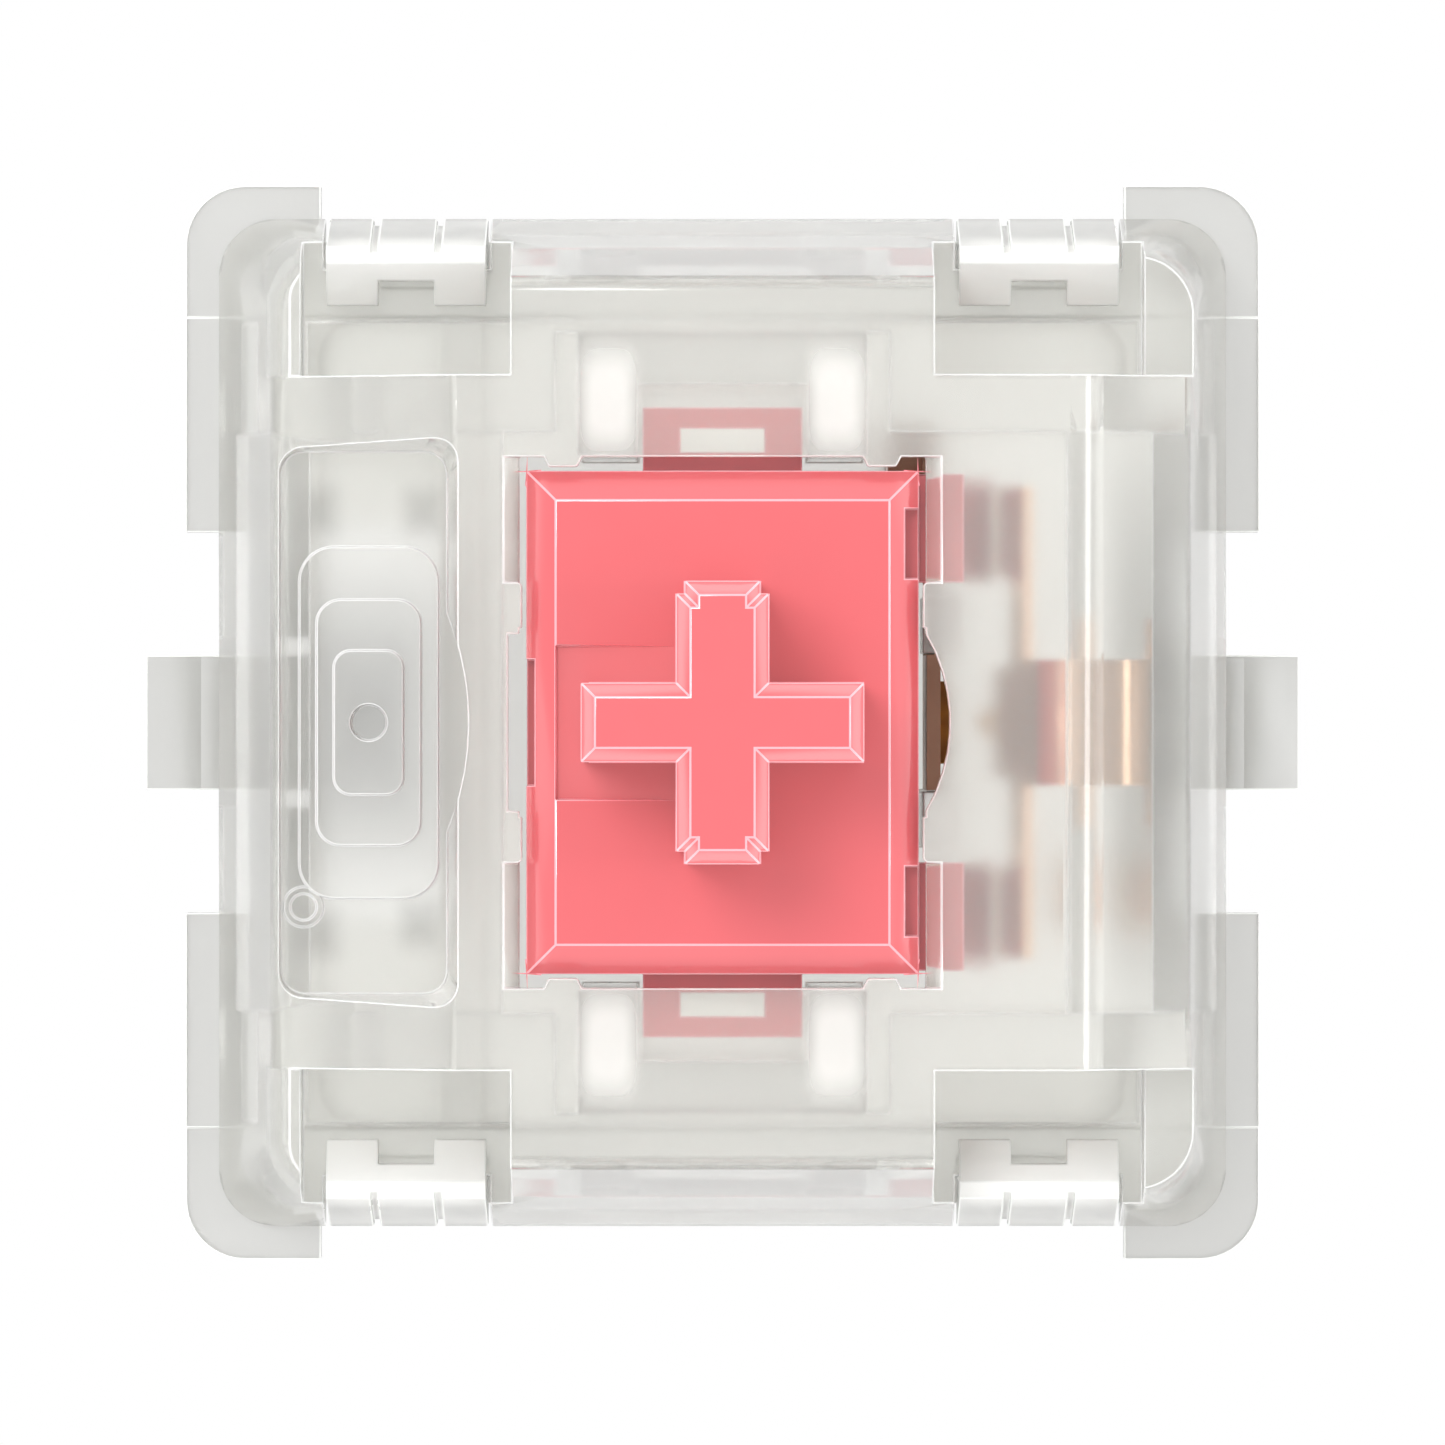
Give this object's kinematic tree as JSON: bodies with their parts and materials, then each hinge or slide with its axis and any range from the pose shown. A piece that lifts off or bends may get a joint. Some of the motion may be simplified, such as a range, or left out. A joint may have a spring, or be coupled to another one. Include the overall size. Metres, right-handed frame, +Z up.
{
  "type": "mechanical keyboard switch",
  "caption": "Plate-mount keyboard key switch with a clear snap-together housing, a cross-topped pressing stem on a coil spring, silent pads and a leaf contact.",
  "frame": {"origin": "on the axis of the centre post, in the plane where the lower housing lies on the circuit board", "axes": "+Z up towards the keycap cross, +X towards the contacts, -X towards the light window, +Y towards the edge with the fixed contact's pin"},
  "size_m": [0.0168, 0.0156, 0.0185],
  "materials": {
    "milky_clear_plastic": "slightly milky clear, satin",
    "clear_plastic": "clear, polished",
    "stem_plastic": "pink, semi-gloss",
    "soft_white": "white, soft",
    "spring_wire": "bright drawn wire",
    "contact_metal": "coppery rolled sheet",
    "gold": "polished gold alloy"
  },
  "bodies": {
    "housing": {"lower_housing": "milky_clear_plastic", "upper_housing": "clear_plastic", "fixed_contact": "contact_metal", "fixed_contact_point": "gold", "leaf_terminal": "contact_metal", "return_spring": "spring_wire"},
    "stem": {"stem": "stem_plastic", "front_damper": "soft_white", "rear_damper": "soft_white"},
    "leaf": {"contact_leaf": "contact_metal", "moving_contact_point": "gold"}
  },
  "joints": [
    {"name": "key_travel", "type": "slide", "parent": "housing", "child": "stem", "axis": [0, 0, -1], "range_m": [0, 0.0037], "stiffness_N_per_m": 79, "springref_m": -0.0038, "deforming": ["return_spring"]},
    {"name": "leaf_flex", "type": "hinge", "parent": "housing", "child": "leaf", "pos_m": [0.00455, 0, 0.00912], "axis": [0, 1, 0], "range_deg": [0, 4.8]}
  ],
  "couplings": [
    {"joint": "leaf_flex", "follows": "key_travel", "rad_per_m": 22.5}
  ]
}
